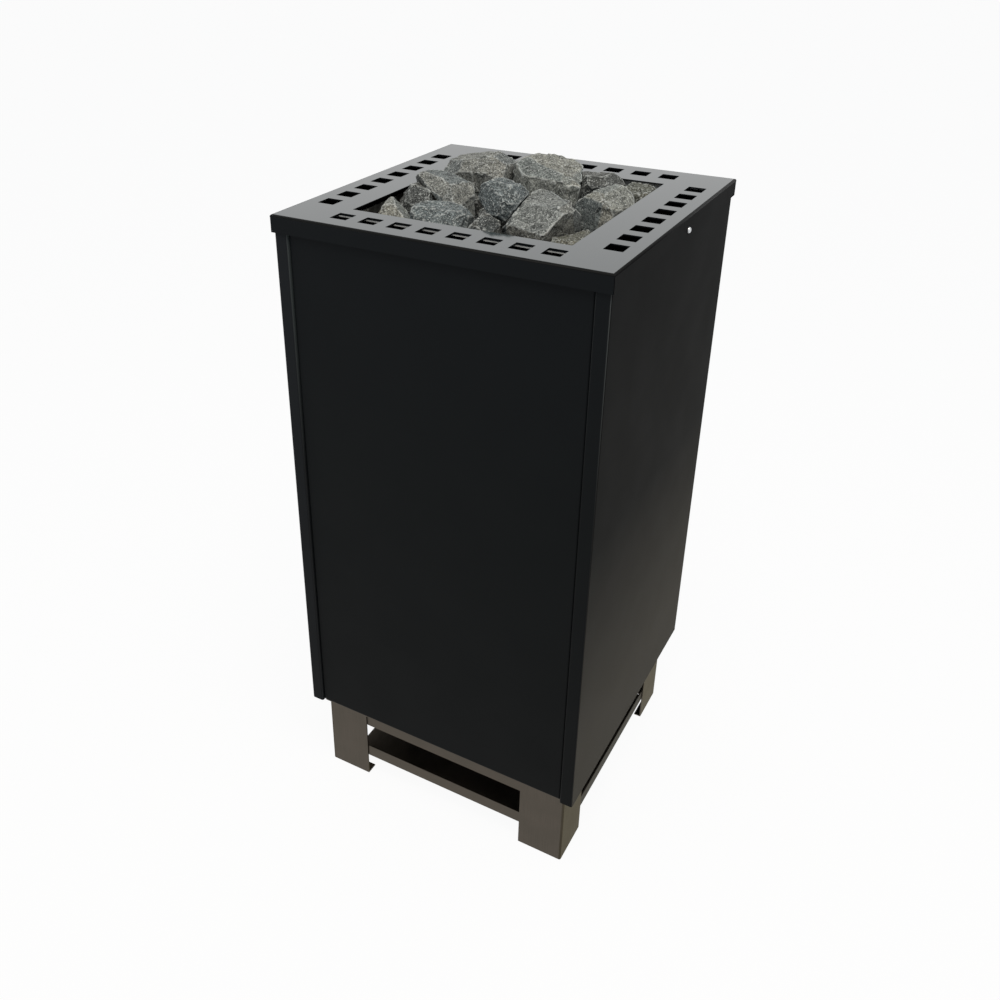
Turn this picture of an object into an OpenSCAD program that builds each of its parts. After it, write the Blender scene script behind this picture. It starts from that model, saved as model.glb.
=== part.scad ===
// Floor-standing electric sauna heater: a square black casing with a vented collar, a basket full
// of stones with three heating elements in it, and a stainless base with four angle feet.
// Millimetres, +Z up. The origin is on the floor under the middle of the casing, the front is -Y.

/* [Casing] */
// Width and depth of the square collar
collar_w = 400; // [390:5:430]
// Height of the collar's top face above the floor
total_h = 815; // [790:5:850]
// Height of the collar's folded lip
lip_h = 20; // [18:0.5:24]
// Thickness of the collar and casing sheets
sheet = 1.5; // [1.2:0.1:1.8]
// Gap between the collar's lip and the casing
lip_gap = 1; // [0.6:0.1:1.4]
// Outer radius of the bends in the sheets
bend_r = 2.5; // [2.2:0.1:3.2]
// Height of the casing's lower edge above the floor
casing_z = 122.5; // [118:0.5:128]
// Width of the side panels' strips on the front and rear
strip_w = 17; // [15:0.5:19]
// Depth of the strips' folded inner edges
strip_hem = 7; // [6:0.5:8]
// Width of the groove beside the front and rear panels
groove_w = 0.4; // [0.3:0.1:0.8]
// Distance that the front and rear panels lie behind the strips
panel_recess = 3; // [2.5:0.5:4]
// Height that the front and rear panels end above the side panels
panel_lift = 0.8; // [0.5:0.1:2]
// Depth of the folded edges of the casing panels
panel_return = 14; // [13:0.5:15]

/* [Collar openings] */
// Distance from the collar's side edge to the stone opening
opening_side = 68.75; // [62:0.25:72]
// Distance from the collar's front edge to the stone opening
opening_front = 60; // [58:0.5:64]
// Distance from the collar's rear edge to the stone opening
opening_rear = 67; // [62:0.5:70]
// Width of a square vent hole
vent_w = 21; // [16:0.5:23]
// Number of vent holes along each side
vent_count = 8; // [5:1:8]
// Distance from the collar's corner to the centre of a row's first vent hole
vent_corner = 75; // [70:0.5:90]
// Distance from the side edge to the centre line of its vent holes
vent_side = 28; // [26:0.5:31]
// Distance from the front or rear edge to the centre line of its vent holes
vent_end = 32; // [28:0.5:34]
// Distance of the collar screws behind the middle
screw_y = 18.5; // [-40:0.5:40]
// Distance of the collar screws below the top face
screw_drop = 16; // [15:0.5:16.5]

/* [Base] */
// Thickness of the stainless sheet
steel = 1.5; // [1.2:0.1:1.8]
// Distance from the casing's face to a foot's face
base_inset = 16.5; // [15.5:0.5:18]
// Width of each leg of an angle foot
foot_w = 61.5; // [56:0.5:66]
// Depth of the floor flange behind a foot's front or rear leg
foot_flange_end = 16; // [14:0.5:20]
// Depth of the floor flange behind a foot's side leg
foot_flange_side = 10; // [8:0.5:12]
// Diameter of the floor screw holes
floor_hole_d = 6; // [5:0.5:7]
// Distance from a foot's corner to its floor screw hole, along its front or rear leg
floor_hole_in = 31; // [24:0.5:36]
// Height of the upper rails
rail_h = 31; // [28:0.5:36]
// Height of the floor tray above the floor
tray_z = 33; // [28:0.5:40]
// Height of the floor tray's rim
tray_rim = 19; // [15:0.5:24]
// Length of the notches at the ends of the floor tray's front and rear edges
tray_notch = 38.5; // [34:0.5:44]
// Length of the notches at the ends of the floor tray's left and right edges
tray_notch_side = 52; // [48:0.5:54]
// Distance that the rails' ledges end behind the casing's face
ledge_inset = 4.5; // [4:0.5:5.5]
// Width of a cross beam
beam_w = 24; // [20:0.5:26]
// Height of a cross beam
beam_h = 25; // [20:0.5:27]
// Gap between the terminal box and each cross beam
beam_gap = 3; // [2.5:0.1:5]

/* [Stone basket] */
// Distance that the basket's inside lies behind the edge of the opening
basket_margin = 6; // [5:0.5:8]
// Distance from the collar's underside to the basket's top
basket_drop = 7.5; // [7:0.5:12]
// Height of the grate's seat above the casing's lower edge
grate_rise = 92.5; // [88:0.5:100]
// Width of the basket's seat for the grate
seat_w = 12; // [10:0.5:14]
// Diameter of the grate bars
bar_d = 8; // [6:0.5:9]
// Width of the air slots in the basket's skirt
slot_w = 30; // [24:1:34]
// Height of the air slots in the basket's skirt
slot_h = 22; // [16:1:26]
// Thickness of the heat shields around the basket
liner_t = 1; // [0.8:0.1:1.2]
// Distance between the basket and the heat shields
liner_gap = 10; // [9:0.5:11]
// Height of the crossbars' inner web
crossbar_h = 20; // [15:0.5:30]
// Distance from the collar's underside to the crossbars
crossbar_drop = 0.5; // [0.3:0.1:1]

/* [Heating elements] */
// Diameter of a tubular heating element
element_d = 8.5; // [7:0.1:9]
// Distance from the outer heating elements to the basket's side walls
element_side = 69.25; // [65.25:0.5:73.25]
// Radius of a heating element's bends
element_bend = 25; // [23:0.5:25]
// Distance from the collar's top face down to the top of a heating element
element_drop = 125; // [100:5:200]
// Distance from the grate up to a heating element's middle bend
element_clear = 17; // [14:0.5:60]
// Diameter of a heating element's terminal pin
pin_d = 4; // [3:0.1:5]

/* [Terminal box] */
// Distance from the outer elements to the terminal box's side walls
box_side = 37; // [34:0.5:42]
// Distance from the elements' outer legs to the terminal box's front and rear walls
box_end = 17; // [16:0.5:19]
// Distance from the grate's seat down to the terminal box's top
box_drop = 17.5; // [14:0.5:20]
// Thickness of the element plate
plate_t = 3; // [2:0.5:4]
// Diameter of the threaded bushes around the elements
bush_d = 14; // [12:0.5:15]
// Diameter of the supply cable that the gland takes
cable_d = 15; // [12:0.5:16]
// Thread diameter of the cable gland
gland_d = 25; // [24:0.5:28]

/* [Stones] */
// Typical length of a stone
stone_l = 80; // [76:1:84]
// Height of the loose heap above the bed of stones
heap_h = 80; // [76:1:84]
// Height that the heap's nominal top stands above the collar
heap_rise = 35; // [30:1:40]
// Number of stone layers in the bed
bed_layers = 6; // [5:1:7]
// Number of stones in a row of the bed from front to rear
bed_rows = 4; // [3:1:5]

/* [Hidden] */
$fn = 48;

// Overrun of every cut past the face that it goes through
over = 1;
// Clearance of a screw or a tube in its hole, on the radius
fit = 0.05;
// Clearance between the lifting collar and the screw heads
slide_gap = 0.1;
// Clearance between two stones
stone_gap = 0.3;

// Casing
casing_w = collar_w - 2 * (sheet + lip_gap);
casing_half = casing_w / 2;
casing_top = total_h - sheet;
bend_in = bend_r - sheet;
panel_w = casing_w - 2 * (strip_w + groove_w);
panel_z = casing_z + panel_lift;
seam_w = 0.6;
top_flange = 12;

// Screws
screw_d = 5;
screw_l = 12;
screw_head_d = 9.5;
screw_head_h = 3.2;
weld_nut_d = 9.2;
weld_nut_h = 4;
// Width of the open slots in the collar's lip beyond the screw's
lip_slot_play = 0.9;
lip_slot_w = screw_d + lip_slot_play;
m4_d = 4;
m4_l = 9;
m4_head_d = 7.2;
m4_head_h = 2.4;
// Radius of a screw head's dome as a share of its diameter
dome_share = 0.9;
// Width and depth of a screw's hexagon socket as shares of its head
socket_w_share = 0.45;
socket_h_share = 0.5;
screw_z = total_h - screw_drop;

// Stone opening and basket
open_x = collar_w / 2 - opening_side;
open_front = -(collar_w / 2 - opening_front);
open_rear = collar_w / 2 - opening_rear;
open_y = (open_front + open_rear) / 2;
open_h = (open_rear - open_front) / 2;
vent_x = collar_w / 2 - vent_side;
vent_y = collar_w / 2 - vent_end;
vent_pitch = (collar_w - 2 * vent_corner) / (vent_count - 1);
basket_x = open_x + basket_margin;
basket_h = open_h + basket_margin;
basket_top = casing_top - basket_drop;
crossbar_top = casing_top - crossbar_drop;
crossbar_w = liner_gap + liner_t + sheet;
liner_x = basket_x + sheet + liner_gap;
element_pitch = basket_x - element_side;
// Air slots of the skirt, as shares of the basket's half width from the middle of a wall
slot_place_shares = [-0.66, -0.22, 0.22, 0.66];

// Base
foot_half = casing_half - base_inset;
rail_half = foot_half - steel;
ledge_half = casing_half - ledge_inset;
deck_z = casing_z;
foot_top = deck_z - steel;
rail_z = deck_z - rail_h;
ledge_screw = (ledge_half + casing_half - panel_return - panel_recess) / 2;
// Place of the casing's lower screws as a share of the rails' half length
ledge_screw_share = 0.67;
ledge_screw_at = rail_half * ledge_screw_share;

// Grate
grate_z = deck_z + grate_rise;
bar_top = grate_z + bar_d;
bars_per_pitch = 3;
bar_pitch = element_pitch / bars_per_pitch;
bar_count = 2 * floor((basket_x - bar_d) / bar_pitch + 1 / 2);
bar_weld = bar_d / 8;
grate_gap = 1;
// Places of the grate's crosspieces as shares of the basket's half depth
crosspiece_shares = [-0.7, 0, 0.7];

// Heating elements
element_top = total_h - element_drop;
element_low = bar_top + element_clear;
leg_y = 3 * element_bend;
box_w = 2 * (element_pitch + box_side);
box_h = grate_rise - box_drop;
box_half = leg_y + box_end;
beam_off = box_half + beam_gap + beam_w / 2;
// Height of the elements' lower ends as a share of the terminal box's height
element_foot_share = 0.7;
element_foot = deck_z + element_foot_share * box_h;
pin_l = 15;
box_top = deck_z + box_h;
plate_top = box_top + plate_t;
bush_head_d = 22;
bush_head_h = 5;
// Length of a bush below the element plate
bush_drop = 14;
bush_l = plate_t + bush_drop;
nut_h = 6;

// Terminal box
box_lip = 14;
box_foot = 14;
plate_gap = 2;
block_end = 10;
block_l = 2 * (element_pitch + block_end);
block_w = 22;
block_h = 26;
pole_count = 5;
clamp_d = 8;
clamp_h = 4;
clamp_sink = 2;
clamp_slot_w = 1;
wire_d = 3;
link_t = 2;
link_w = 10;
link_nut_d = 8;
link_nut_h = 3.2;
// Distance from the gland's middle to the terminal box's side wall
gland_side = 35;
gland_x = box_w / 2 - gland_side;
gland_body_h = 8;
gland_thread_h = 12;
gland_skirt_h = 14;
gland_nut_h = 16;
gland_rim = 2.5;
gland_af = gland_d + 2 * gland_rim;
cable_play = 1;
cable_hole_d = cable_d + 2 * cable_play;
seal_t = 3;
seal_h = 12;
stud_d = 6;
stud_l = 22;
stud_nut_d = 11.5;
stud_nut_h = 5;
// Height of the earth stud as a share of the box's height
stud_z_share = 0.45;
stud_z = deck_z + stud_z_share * box_h;
cover_screw_x = box_w / 2 - sheet - box_lip / 2;
cover_screw_y = box_half - sheet - box_lip / 2;

// Heap of loose stones
bed_top = total_h + heap_rise - heap_h;
bed_low = bar_top + stone_gap;
layer_h = (bed_top - bed_low) / bed_layers;
wall_gap = 0.6;
row_d = 2 * (basket_h - wall_gap) / bed_rows;
opening_gap = 1;
element_play = 1;
element_gap = element_d / 2 + element_play;
stone_cut = 3 * stone_l;
// Left and right edges of the bed's columns, which leave the elements' planes free
bed_columns = [
  [wall_gap - basket_x, -element_pitch - element_gap],
  [element_gap - element_pitch, -element_gap],
  [element_gap, element_pitch - element_gap],
  [element_pitch + element_gap, basket_x - wall_gap]
];
// Each row is a stone: place from the opening's middle and the bed's top as shares of the
// opening's half size and of the heap's height, size as shares of a stone's length, turn in
// degrees, number of its form, and extra cuts as directions with the share of the reach kept
stone_shares = [
  [[-0.88, -0.60, 0.20], [0.62, 0.60, 0.72], [0, 0, 20], 1,
    [[[1, 0.2, 0.9], 0.50], [[-1, 0, 0.7], 0.58], [[0, -1, 0.8], 0.62]]],
  [[-0.82, -0.20, 0.28], [0.62, 0.70, 0.75], [0, 0, 0], 2, []],
  [[-0.70, -0.06, 0.40], [1.04, 0.74, 0.74], [0, 4, -12], 3,
    [[[0.1, -0.8, 1], 0.68], [[1, 0, 0.8], 0.7]]],
  [[-0.37, -0.60, 0.30], [0.92, 0.60, 0.60], [0, 8, 10], 4,
    [[[0.2, -1, -1], 0.5], [[0, -1, 0.8], 0.66]]],
  [[-0.72, 0.62, 0.44], [1.45, 0.84, 0.76], [0, -5, 4], 5, [[[0.1, -0.9, 1], 0.72]]],
  [[0.09, -0.36, 0.68], [0.72, 0.56, 0.54], [0, 10, -10], 6, [[[0, -0.8, 1], 0.72]]],
  [[0.03, 0.67, 0.42], [1.20, 0.86, 0.84], [0, 5, 0], 7, [[[0.3, -0.8, 1], 0.7]]],
  [[0.44, 0.84, 0.30], [0.80, 0.66, 0.76], [0, 0, 0], 8, []],
  [[0.68, 0.34, 0.35], [1.00, 0.66, 0.76], [0, 0, -30], 9,
    [[[0, -0.8, 1], 0.75], [[-0.8, -0.1, 1], 0.42]]],
  [[0.38, -0.30, 0.32], [1.15, 1.14, 0.90], [5, -5, 0], 10,
    [[[0.1, -0.7, 1], 0.62], [[-1, -0.2, 0.9], 0.55]]],
  [[0.03, -0.62, 0.25], [0.44, 0.55, 0.66], [0, 0, 0], 11,
    [[[-1, -0.2, 0.8], 0.55], [[1, -0.2, 0.9], 0.6]]],
  [[0.84, 0.80, 0.22], [0.58, 0.62, 0.75], [0, 0, 0], 12, []],
  [[0.82, -0.42, 0.14], [0.66, 0.95, 0.50], [0, 0, 0], 13, []],
  [[-0.13, 0.12, 0.12], [0.80, 0.80, 0.50], [0, 0, 0], 14, []],
  [[-0.78, 0.30, 0.15], [0.75, 0.70, 0.55], [0, 0, 0], 15, []],
  [[0.28, 0.20, 0.17], [0.70, 0.75, 0.60], [0, 0, 0], 16, []],
  [[0.38, -0.84, 0.08], [0.90, 0.50, 0.46], [0, 0, 0], 17, []]
];
// Number of the stones that show; the rest of the rows are small stones between them
shown_stones = 13;
// Least and greatest share of the reach that a face, an edge and a corner of a stone keep
keep_shares = [[0.9, 1.0], [0.7, 0.98], [0.56, 0.86]];
// Least and greatest share of an edge that a split corner of a bed stone takes
split_shares = [0.08, 0.42];
// Tilt of a stone's faces as a share of their distance
tilt_share = 0.35;
// Weights of the repeatable scatter
scatter_shares = [127.1, 311.7, 43758.5453];
// Number that sets a face's tilts apart from its distance in the scatter
tilt_count = 40;

// Repeatable scatter between 0 and 1
function scatter(a, b) =
  let (v = sin(a * scatter_shares[0] + b * scatter_shares[1]) * scatter_shares[2])
  v - floor(v);

function unit(v) = v / norm(v);
function positive(v) = [for (c = v) abs(c)];
function times(a, b) = [for (i = [0 : 2]) a[i] * b[i]];

// The 26 directions of a box's faces, edges and corners
directions = [
  for (x = [-1 : 1], y = [-1 : 1], z = [-1 : 1])
    if (x != 0 || y != 0 || z != 0) [x, y, z]
];

// A box given by its two opposite corners
module block(low, high) {
  translate(low) cube(high - low);
}

// Places its children in one corner of the plan
module quadrant(sx, sy) {
  mirror([sx < 0 ? 1 : 0, 0, 0]) mirror([0, sy < 0 ? 1 : 0, 0]) children();
}

// A rectangle with its two upper corners rounded, centred, its upper edge at 0
module crown_profile(w, h, r) {
  translate([-w / 2, -h]) square([w, h - r]);
  translate([r - w / 2, -r]) square([w - 2 * r, r]);
  for (s = [-1, 1]) translate([s * (w / 2 - r), -r]) circle(r);
}

// A block whose four upper edges are bends
module crown(wx, wy, h, r) {
  intersection() {
    rotate([90, 0, 0]) linear_extrude(wy, center = true) crown_profile(wx, h, r);
    rotate([90, 0, 90]) linear_extrude(wx, center = true) crown_profile(wy, h, r);
  }
}

// A sheet with all four edges folded down
module pan(wx, wy, h, r, t) {
  difference() {
    crown(wx, wy, h, r);
    translate([0, 0, -t]) crown(wx - 2 * t, wy - 2 * t, h, r - t);
  }
}

// The profile of a sheet with two edges folded down
module channel_profile(w, h, r, t) {
  difference() {
    crown_profile(w, h, r);
    translate([0, -t]) crown_profile(w - 2 * t, h, r - t);
  }
}

// A rectangle below the origin with four rounded corners
module round_profile(w, h, r) {
  translate([-w / 2, r - h]) square([w, h - 2 * r]);
  translate([r - w / 2, -h]) square([w - 2 * r, h]);
  for (s = [-1, 1], y = [r - h, -r]) translate([s * (w / 2 - r), y]) circle(r);
}

// The profile of a sheet with two edges folded down, and their ends folded in over the hem
module hemmed_profile(w, h, hem, r, t) {
  difference() {
    round_profile(w, h, r);
    translate([0, -t]) round_profile(w - 2 * t, h - 2 * t, r - t);
    translate([hem - w / 2, -h - over]) square([w - 2 * hem, h - t]);
  }
}

// A square with one rounded corner at the origin
module corner_profile(w, r) {
  translate([r, 0]) square([w - r, w]);
  translate([0, r]) square([w, w - r]);
  translate([r, r]) circle(r);
}

// A screw along -Z with its head on +Z, the underside of the head at 0
module screw(d, l, head_d, head_h) {
  translate([0, 0, -l]) cylinder(d = d, h = l);
  difference() {
    rotate_extrude() intersection() {
      translate([0, head_h - head_d * dome_share]) circle(head_d * dome_share);
      square([head_d / 2, head_h]);
    }
    translate([0, 0, head_h * (1 - socket_h_share)])
      cylinder(d = head_d * socket_w_share, h = head_h, $fn = 6);
  }
}

module m4_screw() {
  screw(m4_d, m4_l, m4_head_d, m4_head_h);
}

module m4_hole(z) {
  translate([0, 0, z]) cylinder(d = m4_d + 2 * fit, h = 2 * (steel + over), center = true);
}

// A hexagon nut with its bore, standing on 0
module hex_nut(across, h, bore_d) {
  difference() {
    cylinder(d = across, h = h, $fn = 6);
    translate([0, 0, -over]) cylinder(d = bore_d, h = h + 2 * over);
  }
}

// Feet, rails, tray and beams
module foot(sx, sy) {
  color("#8a8178") quadrant(sx, sy) difference() {
    translate([foot_half, foot_half]) rotate(180) {
      linear_extrude(foot_top) difference() {
        corner_profile(foot_w, bend_r);
        translate([steel, steel]) corner_profile(foot_w, bend_in);
      }
      block([foot_flange_side + steel, steel / 2, 0], [foot_w, foot_flange_end, steel]);
      block([steel / 2, foot_flange_end + steel, 0], [foot_flange_side, foot_w, steel]);
    }
    translate([foot_half - floor_hole_in, foot_half - foot_flange_end / 2, steel / 2])
      cylinder(d = floor_hole_d, h = steel + 2 * over, center = true);
  }
}

module floor_tray() {
  tray_w = 2 * rail_half;
  color("#6f6a63") difference() {
    translate([0, 0, tray_z]) rotate([180, 0, 0]) pan(tray_w, tray_w, tray_rim, bend_r, steel);
    for (sx = [-1, 1], sy = [-1, 1]) quadrant(sx, sy)
      block(
        [rail_half - tray_notch, rail_half - tray_notch_side, tray_z - over],
        [rail_half + over, rail_half + over, tray_z + tray_rim + over]
      );
  }
}

// A rail along X at the front, its ledge pointing to -Y
module end_rail() {
  top = panel_z;
  reach = rail_half - bend_in;
  color("#8a8178") difference() {
    union() {
      block([-reach, -rail_half, rail_z], [reach, steel - rail_half, top]);
      block([-reach, -ledge_half, top - steel], [reach, steel / 2 - rail_half, top]);
    }
    for (s = [-1, 1]) translate([s * ledge_screw_at, -ledge_screw, 0]) m4_hole(top);
  }
}

// A rail along Y at the right, its ledge pointing to +X
module side_rail() {
  reach = rail_half - steel;
  color("#8a8178") difference() {
    union() {
      block([reach, -reach, rail_z], [rail_half, reach, deck_z]);
      block([reach + steel / 2, -reach, deck_z - steel], [ledge_half, reach, deck_z]);
    }
    for (s = [-1, 1]) translate([ledge_screw, s * ledge_screw_at, 0]) m4_hole(deck_z);
  }
}

module beam(side) {
  color("#8a8178") translate([0, open_y + side * beam_off, deck_z])
    rotate([90, 0, 90]) linear_extrude(2 * (rail_half - steel), center = true)
      channel_profile(beam_w, beam_h, bend_r, steel);
}

// Casing
module side_panel() {
  color("#2c2c2a") difference() {
    union() {
      translate([casing_half, 0, casing_z]) rotate(-90)
        linear_extrude(casing_top - casing_z)
          hemmed_profile(casing_w, strip_w, strip_hem, bend_r, sheet);
      block(
        [casing_half - top_flange, sheet / 2 - casing_half, casing_top - sheet],
        [casing_half - sheet / 2, casing_half - sheet / 2, casing_top]
      );
      block(
        [casing_half - panel_return, sheet / 2 - casing_half, casing_z],
        [casing_half - sheet / 2, casing_half - sheet / 2, casing_z + sheet]
      );
      translate([casing_half - sheet - weld_nut_h, screw_y, screw_z]) rotate([0, 90, 0])
        cylinder(d = weld_nut_d, h = weld_nut_h + sheet / 2, $fn = 6);
    }
    translate([casing_half + over, screw_y, screw_z]) rotate([0, -90, 0])
      cylinder(d = screw_d + 2 * fit, h = sheet + weld_nut_h + 2 * over);
    for (s = [-1, 1]) translate([ledge_screw, s * ledge_screw_at, 0]) m4_hole(casing_z);
  }
}

// The front panel; the rear panel is the same, turned round
module end_panel() {
  h = casing_top - panel_z;
  color("#1d2122") difference() {
    translate([0, panel_recess - casing_half, panel_z + h / 2]) rotate([90, 0, 0])
      pan(panel_w, h, panel_return, bend_r, sheet);
    for (s = [-1, 1]) translate([s * ledge_screw_at, -ledge_screw, 0]) m4_hole(panel_z);
  }
}

module vents() {
  for (s = [-1, 1], i = [0 : vent_count - 1]) {
    along = (i - (vent_count - 1) / 2) * vent_pitch;
    translate([along, s * vent_y, 0]) cube([vent_w, vent_w, 2 * (sheet + over)], center = true);
    translate([s * vent_x, along, 0]) cube([vent_w, vent_w, 2 * (sheet + over)], center = true);
  }
}

module collar() {
  color("#3c3f3f") translate([0, 0, total_h]) difference() {
    pan(collar_w, collar_w, lip_h, bend_r, sheet);
    block([-open_x, open_front, -sheet - over], [open_x, open_rear, over]);
    vents();
    for (sx = [-1, 1], sy = [-1, 1]) quadrant(sx, sy)
      translate([collar_w / 2 - bend_r, collar_w / 2 - bend_r, -lip_h - over]) rotate(45)
        translate([0, -seam_w / 2, 0]) cube([2 * bend_r, seam_w, lip_h + over - bend_r - seam_w]);
    for (s = [-1, 1]) translate([s * collar_w / 2, screw_y, -screw_drop]) {
      rotate([0, 90, 0]) cylinder(d = lip_slot_w, h = 2 * (sheet + over), center = true);
      translate([-sheet - over, -lip_slot_w / 2, screw_drop - lip_h - over])
        cube([2 * (sheet + over), lip_slot_w, lip_h - screw_drop + over]);
    }
  }
}

module collar_screws() {
  color("#c9c9c6") for (s = [-1, 1])
    translate([s * (collar_w / 2 + slide_gap), screw_y, screw_z]) rotate([0, s * 90, 0])
      screw(screw_d, screw_l, screw_head_d, screw_head_h);
}

module m4_screws() {
  color("#a8a8a4") {
    for (s = [-1, 1], e = [-1, 1]) {
      translate([s * ledge_screw, e * ledge_screw_at, deck_z - steel]) rotate([180, 0, 0])
        m4_screw();
      translate([s * ledge_screw_at, e * ledge_screw, panel_z - steel]) rotate([180, 0, 0])
        m4_screw();
      translate([s * cover_screw_x, open_y + e * cover_screw_y, deck_z - sheet])
        rotate([180, 0, 0]) m4_screw();
      translate([s * cover_screw_x, open_y + e * cover_screw_y, plate_top]) m4_screw();
    }
  }
}

// Basket, its crossbars and the heat shields
module crossbar(side) {
  wall = open_y + side * (basket_h + sheet);
  long = casing_half - top_flange;
  low_y = min(wall, wall + side * crossbar_w);
  web_y = min(wall, wall + side * sheet);
  color("#9a9a96") {
    block([-long, low_y, crossbar_top - sheet], [long, low_y + crossbar_w, crossbar_top]);
    block(
      [-liner_x, web_y, crossbar_top - crossbar_h],
      [liner_x, web_y + sheet, crossbar_top - sheet / 2]
    );
  }
}

module liner_end(side) {
  face = open_y + side * (basket_h + sheet + liner_gap);
  low_y = min(face, face + side * liner_t);
  color("#b5b5b0")
    block([-liner_x, low_y, deck_z], [liner_x, low_y + liner_t, crossbar_top - sheet]);
}

module liner_side(side) {
  long = basket_h + sheet + liner_gap + liner_t;
  low_x = min(side * liner_x, side * (liner_x + liner_t));
  color("#b5b5b0")
    block([low_x, open_y - long, deck_z], [low_x + liner_t, open_y + long, crossbar_top - sheet]);
}

module stone_basket() {
  slot_z = deck_z + beam_h / 2 + slot_h / 2;
  color("#8f8f8b") translate([0, open_y, 0]) difference() {
    block(
      [-basket_x - sheet, -basket_h - sheet, deck_z],
      [basket_x + sheet, basket_h + sheet, basket_top]
    );
    block([-basket_x, -basket_h, grate_z], [basket_x, basket_h, basket_top + over]);
    block([-basket_x, -basket_h, deck_z - over], [basket_x, basket_h, grate_z - sheet]);
    block(
      [seat_w - basket_x, seat_w - basket_h, deck_z],
      [basket_x - seat_w, basket_h - seat_w, grate_z + over]
    );
    for (s = slot_place_shares) translate([s * basket_x, 0, slot_z])
      cube([slot_w, 2 * (basket_h + sheet + over), slot_h], center = true);
    for (s = slot_place_shares) translate([0, s * basket_x, slot_z])
      cube([2 * (basket_x + sheet + over), slot_w, slot_h], center = true);
  }
}

module stone_grate() {
  bar_l = 2 * (basket_h - grate_gap);
  piece_l = 2 * (basket_x - seat_w - grate_gap);
  bar_z = grate_z + bar_d / 2;
  color("#55534f") translate([0, open_y, 0]) {
    for (i = [0 : bar_count - 1])
      translate([(i - (bar_count - 1) / 2) * bar_pitch, 0, bar_z]) rotate([90, 0, 0])
        cylinder(d = bar_d, h = bar_l, center = true);
    for (s = crosspiece_shares)
      translate([0, s * basket_h, bar_z - bar_d + bar_weld]) rotate([0, 90, 0])
        cylinder(d = bar_d, h = piece_l, center = true);
  }
}

// Heating elements, each an M of three bends in one upright plane
module half_bend(turn) {
  rotate([90, 0, 90]) rotate(turn) rotate_extrude(angle = 180)
    translate([element_bend, 0]) circle(d = element_d);
}

module straight(y, low, high) {
  translate([0, y, low]) cylinder(d = element_d, h = high - low);
}

module element(i) {
  color("#6e6a66") translate([i * element_pitch, open_y, 0]) {
    for (s = [-1, 1]) {
      straight(s * leg_y, element_foot, element_top - element_bend);
      straight(s * element_bend, element_low + element_bend, element_top - element_bend);
      translate([0, s * 2 * element_bend, element_top - element_bend]) half_bend(0);
      translate([0, s * leg_y, element_foot - pin_l]) cylinder(d = pin_d, h = pin_l + fit);
    }
    translate([0, 0, element_low + element_bend]) half_bend(180);
  }
}

// Places its children at each terminal leg of the elements
module at_legs() {
  for (i = [-1 : 1], s = [-1, 1])
    translate([i * element_pitch, open_y + s * leg_y, 0]) children();
}

module element_bushes() {
  color("#b08d3e") at_legs() difference() {
    union() {
      translate([0, 0, plate_top]) cylinder(d = bush_head_d, h = bush_head_h, $fn = 6);
      translate([0, 0, plate_top - bush_l]) cylinder(d = bush_d, h = bush_l + fit);
    }
    translate([0, 0, plate_top - bush_l - over])
      cylinder(d = element_d + 2 * fit, h = bush_l + bush_head_h + 2 * over);
  }
}

module element_nuts() {
  color("#a8a8a4") at_legs() translate([0, 0, box_top - nut_h])
    hex_nut(bush_head_d, nut_h, bush_d + 2 * fit);
}

module element_plate() {
  color("#8a8a86") difference() {
    block(
      [-box_w / 2, open_y - box_half, box_top],
      [box_w / 2, open_y + box_half, plate_top]
    );
    at_legs() translate([0, 0, box_top - over])
      cylinder(d = bush_d + 2 * fit, h = plate_t + 2 * over);
    for (s = [-1, 1], e = [-1, 1])
      translate([s * cover_screw_x, open_y + e * cover_screw_y, box_top - over])
        cylinder(d = m4_d + 2 * fit, h = plate_t + 2 * over);
  }
}

module terminal_box() {
  hw = box_w / 2;
  color("#9c9c98") translate([0, open_y, 0]) difference() {
    union() {
      block([-hw, -box_half, deck_z], [hw, box_half, box_top]);
      block([-hw, -box_half - box_foot, deck_z], [hw, box_half + box_foot, deck_z + sheet]);
    }
    block(
      [sheet - hw, sheet - box_half, deck_z + sheet],
      [hw - sheet, box_half - sheet, box_top - sheet]
    );
    for (z = [deck_z - over, box_top - sheet - over])
      translate([0, 0, z]) difference() {
        block(
          [sheet - hw, sheet - box_half, 0],
          [hw - sheet, box_half - sheet, sheet + 2 * over]
        );
        for (s = [-1, 1], e = [-1, 1]) quadrant(s, e)
          block(
            [hw - sheet - box_lip, box_half - sheet - box_lip, -over],
            [hw, box_half, sheet + 3 * over]
          );
      }
    for (s = [-1, 1], e = [-1, 1])
      translate([s * cover_screw_x, e * cover_screw_y, deck_z - over])
        cylinder(d = m4_d + 2 * fit, h = box_h + 2 * over);
    translate([-hw - over, 0, stud_z]) rotate([0, 90, 0])
      cylinder(d = stud_d + 2 * fit, h = sheet + 2 * over);
  }
}

module terminal_cover() {
  hw = box_w / 2;
  hy = box_half - plate_gap;
  color("#9c9c98") difference() {
    block([-hw, open_y - hy, deck_z - sheet], [hw, open_y + hy, deck_z]);
    for (s = [-1, 1], e = [-1, 1])
      translate([s * cover_screw_x, open_y + e * cover_screw_y, deck_z - sheet - over])
        cylinder(d = m4_d + 2 * fit, h = sheet + 2 * over);
    translate([gland_x, open_y, deck_z - sheet - over])
      cylinder(d = gland_d + 2 * fit, h = sheet + 2 * over);
  }
}

// Ceramic terminal block on the cover, its poles under the elements' rear pins
module pole_place(i) {
  translate([(i - (pole_count - 1) / 2) * element_pitch / 2, open_y + leg_y, deck_z])
    children();
}

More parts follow.
